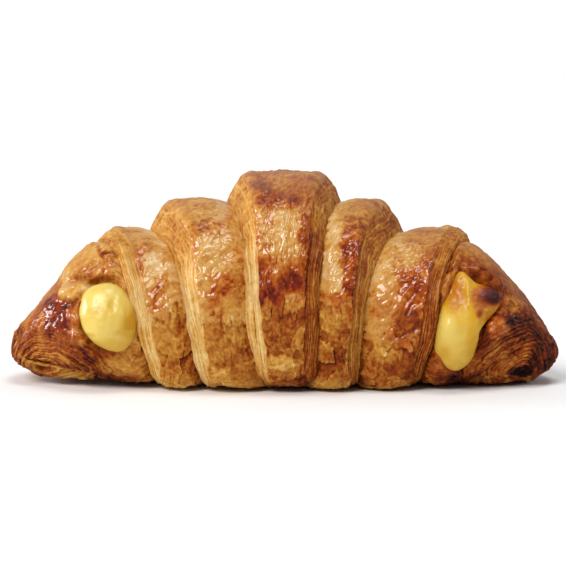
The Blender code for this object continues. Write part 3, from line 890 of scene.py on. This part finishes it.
def crust_material(settings):
    """Laminated butter dough: torn and cut dough stays dry, and the baked egg wash is an amber film."""
    material, tree = new_material("egg-washed butter dough")
    place = add_node(tree, "TexCoord", output="Object")
    baked, wash, blister, bloom = [
        add_node(tree, "Attribute", output="Fac", attribute_name=mark)
        for mark in ("bake", "wash", "blister", "bloom")
    ]
    grain, mottle, fine = [
        add_node(tree, "TexNoise", {"Vector": place, "Scale": 1 / (size * MM), "Detail": detail})
        for size, detail in ((GRAIN, 3.0), (MOTTLE, 4.0), (CRINKLE, 0.5))
    ]
    # The tone mark holds painted shade and light as well as the dough's browning
    tone = baked
    for pattern, share in ((mottle, MOTTLE_SHARE), (grain, GRAIN_SHARE)):
        tone = add_node(tree, "Math", {0: pattern, 1: share, 2: tone}, operation="MULTIPLY_ADD")
    level = (MOTTLE_SHARE + GRAIN_SHARE) / 2
    tone = add_node(tree, "Math", {0: tone, 1: level}, operation="SUBTRACT")
    dry, film = [
        add_node(tree, "ValToRGB", {"Fac": tone}, stops=colour_stops(settings, stops))
        for stops in (DOUGH_STOPS, FILM_STOPS)
    ]
    # Painted sheen: the tops of the dry dough are mixed towards a pale haze in place of grazing reflections
    haze = add_node(tree, "Math", {0: bloom, 1: 0.4}, operation="MULTIPLY")
    dry = add_node(tree, "Mix", {"Factor": haze, 6: dry, 7: settings.bloom}, output=2, data_type="RGBA")
    colour = add_node(tree, "Mix", {"Factor": wash, 6: dry, 7: film}, output=2, data_type="RGBA")
    rough = add_node(tree, "MapRange", {"Value": wash, "To Min": 0.70, "To Max": 0.42})
    gloss = add_node(tree, "Math", {0: wash, 1: settings.wash_gloss}, operation="MULTIPLY")
    bump = add_node(tree, "Bump", {"Height": grain, "Strength": 0.8, "Distance": GRAIN_HEIGHT * MM})
    crinkle = add_node(tree, "Bump", {"Height": fine, "Strength": 0.8, "Distance": CRINKLE_HEIGHT * MM})
    cells = add_node(tree, "TexVoronoi", {"Vector": place, "Scale": 1 / (BLISTER * MM)}, output="Distance")
    domes = add_node(tree, "Math", {0: cells, 1: cells}, operation="MULTIPLY")
    glazed = add_node(
        tree, "Bump",
        {"Height": domes, "Strength": blister, "Distance": BLISTER_HEIGHT * MM, "Normal": crinkle},
        invert=True,
    )
    fill_inputs(tree, tree.nodes["Principled BSDF"], {
        "Base Color": colour, "Roughness": rough, "IOR": 1.45, "Specular IOR Level": 0.15,
        "Normal": bump, "Coat Normal": glazed, "Coat Weight": gloss, "Coat IOR": 1.55,
        "Coat Roughness": settings.wash_roughness,
        "Sheen Weight": 0.04, "Sheen Roughness": 0.4, "Sheen Tint": linear("FFE4DC"),
    })
    return material


def custard_material(settings):
    """Cooked egg custard: smooth, moist and a little see-through, with a soft shine."""
    material, tree = new_material("cooked egg custard")
    # The toast mark browns the custard, and in places darkens it as painted shade
    toast = add_node(tree, "Attribute", output="Fac", attribute_name="toast")
    stops = colour_stops(settings, CUSTARD_STOPS)
    colour = add_node(tree, "ValToRGB", {"Fac": toast}, stops=stops)
    place = add_node(tree, "TexCoord", output="Object")
    curds = add_node(tree, "TexNoise", {"Vector": place, "Scale": 1 / (CURD * MM), "Detail": 2.0})
    bump = add_node(tree, "Bump", {"Height": curds, "Strength": 0.6, "Distance": CURD_HEIGHT * MM})
    rough = add_node(tree, "MapRange", {"Value": toast, "To Min": 0.34, "To Max": 0.5})
    moist = add_node(tree, "MapRange", {"Value": toast, "To Min": 0.45, "To Max": 0.05})
    fill_inputs(tree, tree.nodes["Principled BSDF"], {
        "Base Color": colour, "Roughness": rough, "IOR": 1.45, "Normal": bump,
        "Coat Weight": moist, "Coat Roughness": 0.27, "Coat IOR": 1.45,
        "Subsurface Weight": 0.2, "Subsurface Radius": (1.0, 0.6, 0.15), "Subsurface Scale": 3.0 * MM,
    })
    return material


# Custard at each opening: its middle, how far it swells out, its outline from the front (x, z), its
# dents and bulges (x, z, half-width, half-height, rise, its browning there), and its browning
# elsewhere. The browning is partly painted shade, in the creases, on the upper left of the drip and on the
# right and lower side of the ball

BLOBS = {
    "custard_ball": {
        "middle": (-49.4, -25.6, 20.2),
        "swell": 7.4,
        "outline": (
            (-52.4, 30.4), (-48.8, 30.6), (-45.7, 29.0), (-43.4, 26.2), (-41.9, 22.8), (-41.4, 19.6),
            (-41.8, 16.7), (-42.8, 14.2), (-44.4, 12.2), (-46.7, 11.2), (-49.0, 11.4), (-51.6, 12.4),
            (-53.8, 13.8), (-55.6, 15.6), (-56.9, 17.6), (-57.7, 20.0), (-58.0, 22.6), (-57.5, 25.2),
            (-56.7, 27.6), (-55.0, 29.4),
        ),
        "dents": (
            (-48.2, 25, 1.1, 1.7, -0.5, 0.13), (-46.4, 26, 0.9, 1.8, 0.3, 0.04),
            (-44.8, 24, 0.8, 1.8, 0.2, 0.1), (-49.6, 22.4, 0.8, 1.6, -0.15, 0.08),
            (-50.6, 19.6, 1.8, 0.7, 0.14, 0.03), (-43, 22.4, 0.7, 1.6, 0.25, 0.16),
            (-43.4, 19, 2.2, 3.6, -0.2, 0.3), (-44.6, 17.2, 2.4, 0.9, -0.3, 0.18),
            (-54.4, 16.4, 1.8, 0.7, -0.2, 0.12), (-48, 13.4, 7, 2.4, 0.1, 0.17),
        ),
        "toasted_and_shaded": 0.03,
        "seed": 31,
    },
    "custard_drip": {
        "middle": (49.4, -25.6, 18.0),
        "swell": 8.2,
        "outline": (
            (50.6, 33.9), (52.2, 32.6), (54.1, 30.9), (56.6, 30.0), (59.2, 29.2), (60.8, 27.4),
            (61.1, 25.2), (59.3, 22.1), (56.9, 19.5), (55.0, 17.6), (54.8, 15.0), (54.3, 12.0),
            (53.2, 9.1), (51.1, 6.8), (48.7, 5.7), (46.1, 6.5), (44.0, 8.6), (42.5, 11.3),
            (42.4, 14.7), (43.1, 18.6), (44.0, 22.9), (45.7, 27.5), (47.7, 31.2), (49.2, 33.7),
        ),
        "dents": (
            (46.6, 18, 4.4, 7, 0.8, 0.1), (48, 28.6, 3.2, 5.6, -1.6, 0.44),
            (51.8, 28.8, 0.9, 3.6, 0.7, 0.24), (53, 25.6, 0.9, 1.6, 0.5, 0.14),
            (57.6, 22.6, 3.4, 3.4, -2.2, 0.38), (55, 27, 2.7, 2.9, -0.2, 0.56),
            (58.4, 27.9, 3.2, 2.1, 0.8, 0.92), (59.4, 26.9, 2.2, 2, 0.5, 1),
            (54.7, 22.8, 0.9, 1, 0.8, 0.7), (45.6, 18.9, 2, 3.4, 0.3, 0.04),
            (49.8, 20.4, 1.2, 3, -0.2, 0.16), (52.8, 15, 1.6, 5, -0.2, 0.26),
            (45.2, 11.6, 1.4, 1.8, -0.2, 0.22),
        ),
        "toasted_and_shaded": 0.18,
        "seed": 37,
    },
}


def outline_reach(angle, middle, outline):
    """How far the outline lies from the middle in each direction."""
    beside = np.array([x for x, _ in outline]) - middle[0]
    above = np.array([z for _, z in outline]) - middle[2]
    order = np.argsort(np.arctan2(above, beside))
    turns = np.arctan2(above, beside)[order]
    reach = np.hypot(beside, above)[order]
    turns = np.concatenate([turns[-2:] - TURN, turns, turns[:2] + TURN])
    return through(angle, turns, np.concatenate([reach[-2:], reach, reach[:2]]))


def custard_blob(name, swell, material):
    """A round primitive at the opening, pulled to the outline and swollen towards the front."""
    blob = BLOBS[name]
    middle, seed = blob["middle"], blob["seed"]
    bpy.ops.mesh.primitive_uv_sphere_add(
        segments=fineness(240), ring_count=fineness(180), radius=MM, location=(0, 0, 0)
    )
    piece = bpy.context.object
    piece.name = name
    piece.data.name = name
    mesh = piece.data
    round_points = np.zeros(len(mesh.vertices) * 3)
    mesh.vertices.foreach_get("co", round_points)
    unit = round_points.reshape(-1, 3) / MM
    rim = outline_reach(np.arctan2(unit[:, 2], unit[:, 0]), middle, blob["outline"])
    level = outline_reach(np.linspace(-math.pi, math.pi, 90), middle, blob["outline"]).mean()
    reach = mix(level, rim, 1 - unit[:, 1] ** 2)
    full = np.sign(unit[:, 1]) * np.abs(unit[:, 1]) ** 0.9
    points = np.stack([unit[:, 0] * reach, full * blob["swell"] * swell, unit[:, 2] * reach], axis=-1)
    points = points + middle
    front = ease(-2.2 * unit[:, 1])
    lump = noise_on(points, seed)
    rise = 0.3 * lump(5.5, 0) + 0.11 * lump(2.2, 1)
    rise = rise + 0.05 * lump(1.1, 2)
    toasted_and_shaded = blob["toasted_and_shaded"] + 0.08 * rough_noise(points, 4.0, 2, seed + 3)
    # A dent's own browning is partly painted shade: in the creases, on the upper left of the drip and on the
    # right and lower side of the ball
    for x, z, half_width, half_height, own_rise, own_toast_and_shade in blob["dents"]:
        away = ((points[:, 0] - x) / half_width) ** 2 + ((points[:, 2] - z) / half_height) ** 2
        rise = rise + own_rise * np.exp(-(away**1.4))
        toasted_and_shaded = mix(toasted_and_shaded, own_toast_and_shade, np.exp(-0.7 * away**1.6))
    rise = rise + 0.3 * lump(1.5, 5) * ease((toasted_and_shaded - 0.22) / 0.15)
    points[:, 1] -= rise * front
    mesh.vertices.foreach_set("co", (points * MM).reshape(-1))
    toast = mesh.attributes.new("toast", "FLOAT", "POINT")
    toast.data.foreach_set("value", np.clip(toasted_and_shaded, 0, 1).astype(np.float32))
    mesh.update()
    mesh.shade_smooth()
    mesh.materials.append(material)
    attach(piece, "root")
    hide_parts("custard")
    return piece


# Operators


def number_setting(name, description, default, low, high, **kind):
    """A number that a user can set between two limits, with its unit or subtype."""
    return bpy.props.FloatProperty(
        name=name, description=description, default=default, min=low, max=high, **kind
    )


def colour_setting(name, description, hex_colour):
    """A colour that a user can pick, from its sRGB hex."""
    return bpy.props.FloatVectorProperty(
        name=name, description=description, default=linear(hex_colour), size=4, min=0.0, max=1.0,
        subtype="COLOR",
    )


class CroissantSettings(bpy.types.PropertyGroup):
    """Sizes and colours of the croissant that a user would change."""

    relief: number_setting(
        "Relief", "Height of the wrinkles, flakes and layers, where 1 is as baked", 1.0, 0.0, 1.5,
        subtype="FACTOR",
    )
    cut_width: number_setting(
        "Cut edge width", "Width of the layered cut edges on the front", 0.0045, 0.002, 0.007,
        unit="LENGTH",
    )
    edge_layers: number_setting("Cut edge layers", "How many strands a cut edge shows", 8.5, 2.0, 12.0)
    rim_lift: number_setting(
        "Rim lift", "How far the lower rims are bent up off the floor", 0.0008, 0.0, 0.003, unit="LENGTH"
    )
    custard_swell: number_setting(
        "Custard swell", "How far the custard swells out, where 1 is as baked", 1.0, 0.5, 1.1,
        subtype="FACTOR",
    )
    wash_gloss: number_setting(
        "Egg wash gloss", "Share of the full shine that the egg wash has", 1.0, 0.0, 1.0, subtype="FACTOR"
    )
    wash_roughness: number_setting(
        "Egg wash roughness", "How soft the shine of the egg wash is", 0.09, 0.0, 1.0, subtype="FACTOR"
    )
    pale_dough: colour_setting("Pale dough", "Cut and torn dough that has stayed pale", "F0D494")
    golden_dough: colour_setting("Golden dough", "Dry dough baked golden", "CE963E")
    brown_dough: colour_setting("Brown dough", "Dry dough baked brown", "9A4C10")
    red_dough: colour_setting("Red-brown dough", "Dry dough baked deep red-brown", "742C0A")
    burnt_dough: colour_setting("Burnt dough", "Dry dough where it is burnt", "1C0A08")
    pale_film: colour_setting("Pale film", "Egg wash where it puffed up pale", "EED0A0")
    golden_film: colour_setting("Golden film", "Egg wash baked golden", "D29A4A")
    amber_film: colour_setting("Amber film", "Egg wash baked orange", "B25202")
    red_film: colour_setting("Red-brown film", "Egg wash baked deep red-brown", "7C2000")
    burnt_film: colour_setting("Burnt film", "Egg wash where it is burnt", "180604")
    # Painted sheen: a pale haze painted over the tops in place of their grazing reflections
    bloom: colour_setting("Painted_top_sheen", "Dull haze over the tops of the wraps", "BA8862")
    custard: colour_setting("Custard", "Plain custard", "EDD26C")
    amber_custard: colour_setting("Amber custard", "Custard just browned", "D8A41C")
    orange_custard: colour_setting("Orange custard", "Browned custard", "BE6406")
    brown_custard: colour_setting("Brown custard", "Custard baked dark", "7E2A08")
    burnt_custard: colour_setting("Burnt custard", "Custard where it is burnt", "42120C")
    floor_colour: colour_setting("Floor", "White paper that the croissant stands on", "FEFEFE")
    light_scale: number_setting("Lights", "Strength of all the soft lights together", 1.0, 0.0, 4.0)
    room_light: number_setting("Room light", "Even light from the white room", 0.22, 0.0, 2.0)


class CROISSANT_OT_middle_wrap(bpy.types.Operator):
    """Model the middle wrap, whose point is tucked under the base"""

    bl_idname = "croissant.middle_wrap"
    bl_label = "Middle wrap"

    def execute(self, context):
        settings = context.scene.croissant
        material = crust_material(settings)
        halves = []
        for side in ("left", "right"):
            sheet = Sheet(side, TONGUE_START, TURN + TONGUE_START, fineness(520), fineness(86))
            bake(sheet, MIDDLE, settings)
            halves.append(sheet)
        left, right = halves
        points = side_by_side(left.moved, right.moved)
        axis = side_by_side(left.axis, right.axis)
        marks = {mark: side_by_side(left.marks[mark], right.marks[mark]) for mark in left.marks}
        closed_piece("middle_wrap", points, marks, axis, (-0.4, 0.4), material)
        return {"FINISHED"}


class CROISSANT_OT_side_wraps(bpy.types.Operator):
    """Model the second and third wraps on both sides"""

    bl_idname = "croissant.side_wraps"
    bl_label = "Side wraps"

    def execute(self, context):
        second, third = TURN + TONGUE_START, 2 * TURN + TONGUE_START
        side_piece(context, "left_second_wrap", "left", second, second + TURN, 500, 96, LEFT_SECOND)
        side_piece(context, "right_second_wrap", "right", second, second + TURN, 500, 96, RIGHT_SECOND)
        side_piece(context, "left_third_wrap", "left", third, third + TURN, 440, 96, LEFT_THIRD)
        side_piece(context, "right_third_wrap", "right", third, third + TURN, 440, 96, RIGHT_THIRD)
        return {"FINISHED"}


class CROISSANT_OT_tips(bpy.types.Operator):
    """Model the two rolled ends with their open pockets"""

    bl_idname = "croissant.tips"
    bl_label = "Tips"

    def execute(self, context):
        end = LAST_EDGE + TURN
        side_piece(context, "left_tip", "left", ROLLED_END, end, 860, 108, LEFT_TIP)
        side_piece(context, "right_tip", "right", ROLLED_END, end, 860, 108, RIGHT_TIP)
        return {"FINISHED"}


class CROISSANT_OT_custard(bpy.types.Operator):
    """Model the custard that swells out of the two openings"""

    bl_idname = "croissant.custard"
    bl_label = "Custard"

    def execute(self, context):
        bpy.ops.object.select_all(action="DESELECT")
        settings = context.scene.croissant
        material = custard_material(settings)
        for name in BLOBS:
            custard_blob(name, settings.custard_swell, material)
        return {"FINISHED"}


# Stage: the camera's lens in mm, its height angle in degrees, and its distance from the point it
# looks at
LENS = 135.0
CAMERA_ELEVATION = 6.0
CAMERA_DISTANCE = 0.626
CAMERA_TARGET = Vector((-0.0003, 0.0, 0.02804))

# What the egg wash mirrors: a darker floor, and this change in the strength of the room's light
MIRRORED_FLOOR = "505050"
MIRRORED_ROOM = -0.15

# Soft lights: degrees to the right of the front, height angle, strength, and how wide each looks
SOFT_LIGHTS = (
    ("window", -34.0, 41.0, 1.85, 28.0),
    ("left side", -101.0, 12.0, 1.55, 23.0),
    ("overhead", 50.0, 80.0, 0.85, 26.0),
    ("right side", 90.0, 20.0, 0.40, 20.0),
    ("backdrop", 180.0, 32.0, 0.50, 70.0),
)


def direction(to_right, elevation):
    """Towards a place this many degrees to the right of the front and above the floor."""
    turn, rise = math.radians(to_right), math.radians(elevation)
    return Vector((math.sin(turn) * math.cos(rise), -math.cos(turn) * math.cos(rise), math.sin(rise)))


class CROISSANT_OT_stage(bpy.types.Operator):
    """Set up the pale floor, the soft lights and the camera"""

    bl_idname = "croissant.stage"
    bl_label = "Stage"

    def execute(self, context):
        settings = context.scene.croissant
        bpy.ops.object.select_all(action="DESELECT")
        bpy.ops.mesh.primitive_plane_add(size=6.0, location=(0, 0, -0.0002))
        floor = context.object
        floor.name = "floor"
        paper, tree = new_material("white matte paper")
        mirrored = add_node(tree, "LightPath", output="Is Glossy Ray")
        shade = add_node(
            tree, "Mix",
            {"Factor": mirrored, 6: settings.floor_colour, 7: linear(MIRRORED_FLOOR)},
            output=2, data_type="RGBA",
        )
        fill_inputs(tree, tree.nodes["Principled BSDF"], {"Base Color": shade, "Roughness": 0.9})
        floor.data.materials.append(paper)

        world = bpy.data.worlds.new("white studio")
        world.use_nodes = True
        tree = world.node_tree
        seen = add_node(tree, "LightPath", output="Is Camera Ray")
        shown = add_node(tree, "MapRange", {"Value": seen, "To Min": settings.room_light, "To Max": 1.0})
        mirrored = add_node(tree, "LightPath", output="Is Glossy Ray")
        strength = add_node(
            tree, "Math", {0: mirrored, 1: MIRRORED_ROOM, 2: shown}, operation="MULTIPLY_ADD"
        )
        white = (1.0, 1.0, 1.0, 1.0)
        fill_inputs(tree, tree.nodes["Background"], {"Color": white, "Strength": strength})
        context.scene.world = world

        for name, to_right, elevation, strength, width in SOFT_LIGHTS:
            light = bpy.data.lights.new(name, "SUN")
            light.energy = strength * settings.light_scale
            light.angle = math.radians(width)
            lamp = add_object(name, light)
            lamp.rotation_euler = direction(to_right, elevation).to_track_quat("Z", "Y").to_euler()

        camera = bpy.data.cameras.new("camera")
        camera.lens = LENS
        camera.clip_start = 0.01
        camera_object = add_object("camera", camera)
        camera_object.location = CAMERA_TARGET + direction(0, CAMERA_ELEVATION) * CAMERA_DISTANCE
        camera_object.rotation_euler = (math.radians(90 - CAMERA_ELEVATION), 0.0, 0.0)
        context.scene.camera = camera_object
        context.scene.view_settings.view_transform = "Standard"
        return {"FINISHED"}


class CROISSANT_PT_panel(bpy.types.Panel):
    """Lists the pieces and their settings in the sidebar"""

    bl_idname = "CROISSANT_PT_panel"
    bl_label = "Croissant"
    bl_space_type = "VIEW_3D"
    bl_region_type = "UI"
    bl_category = "Croissant"

    def draw(self, context):
        for setting in CroissantSettings.__annotations__:
            self.layout.prop(context.scene.croissant, setting)
        for operator in OPERATORS:
            self.layout.operator(operator.bl_idname)


OPERATORS = (
    CROISSANT_OT_middle_wrap,
    CROISSANT_OT_side_wraps,
    CROISSANT_OT_tips,
    CROISSANT_OT_custard,
    CROISSANT_OT_stage,
)
CLASSES = (CroissantSettings, *OPERATORS, CROISSANT_PT_panel)


def register():
    for cls in CLASSES:
        bpy.utils.register_class(cls)
    bpy.types.Scene.croissant = bpy.props.PointerProperty(type=CroissantSettings)


def unregister():
    del bpy.types.Scene.croissant
    for cls in reversed(CLASSES):
        bpy.utils.unregister_class(cls)


def main():
    register()
    bpy.ops.croissant.middle_wrap()
    bpy.ops.croissant.side_wraps()
    bpy.ops.croissant.tips()
    bpy.ops.croissant.custard()
    bpy.ops.croissant.stage()


if __name__ == "__main__":
    main()
